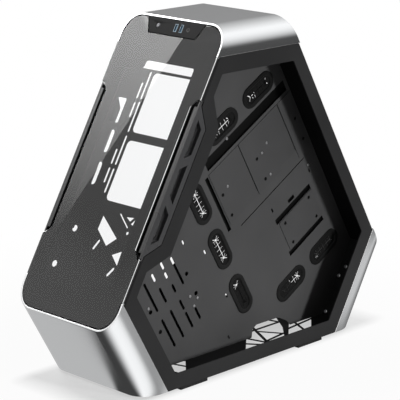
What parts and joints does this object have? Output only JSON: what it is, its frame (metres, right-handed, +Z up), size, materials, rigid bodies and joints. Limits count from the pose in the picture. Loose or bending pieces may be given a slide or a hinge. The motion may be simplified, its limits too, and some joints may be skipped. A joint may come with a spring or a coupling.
{
  "type": "computer case",
  "caption": "Triangular tower computer case with cut corners, metal corner caps, sloping tinted front glass, open sides and a pierced mid tray with cable grommets.",
  "frame": {"origin": "centre of the overall box at the bottom of the feet", "axes": "+Z up, the sloping glass faces -Y, +X is the cable side"},
  "size_m": [0.228, 0.663, 0.5792],
  "materials": {
    "frame_paint": "fine matt powder coat",
    "panel_paint": "matt powder coat",
    "cap_metal": "satin anodised",
    "tinted_glass": "tinted tempered glass",
    "vent_plastic": "fine texture",
    "black_plastic": "satin",
    "button_metal": "satin",
    "socket_metal": "bright",
    "socket_blue": "satin",
    "grommet_rubber": "matt",
    "screw_steel": "zinc plated",
    "foot_rubber": "matt",
    "standoff_brass": "turned"
  },
  "bodies": {
    "case": {"right_side_frame": "frame_paint", "left_side_frame": "frame_paint", "mid_tray": "panel_paint", "rear_wall": "panel_paint", "floor_panel": "panel_paint", "top_wall": "panel_paint", "tail_wall": "panel_paint", "nose_wall": "panel_paint", "fan_bracket": "panel_paint", "front_cage": "panel_paint", "front_frame": "black_plastic", "top_cap": "cap_metal", "tail_cap": "cap_metal", "nose_cap": "cap_metal", "front_glass": "tinted_glass", "right_side_vent": "vent_plastic", "left_side_vent": "vent_plastic", "strip_housing": "black_plastic", "data_socket_shells": "socket_metal", "data_socket_tongues": "socket_blue", "audio_jack": "black_plastic", "cable_grommets": "grommet_rubber", "drive_plate_front": "panel_paint", "drive_plate_rear": "panel_paint", "drive_plate_end": "panel_paint", "small_drive_plate": "panel_paint", "slot_covers": "panel_paint", "slot_rail": "panel_paint", "slot_screws": "screw_steel", "feet": "foot_rubber", "board_standoffs": "standoff_brass", "wall_screws": "screw_steel", "plate_screws": "screw_steel"},
    "button": {"power_button": "button_metal"}
  },
  "joints": [
    {"name": "button_press", "type": "slide", "parent": "case", "child": "button", "axis": [0, 0.866, -0.5], "range_m": [0, 0.0015], "stiffness_N_per_m": 400}
  ]
}
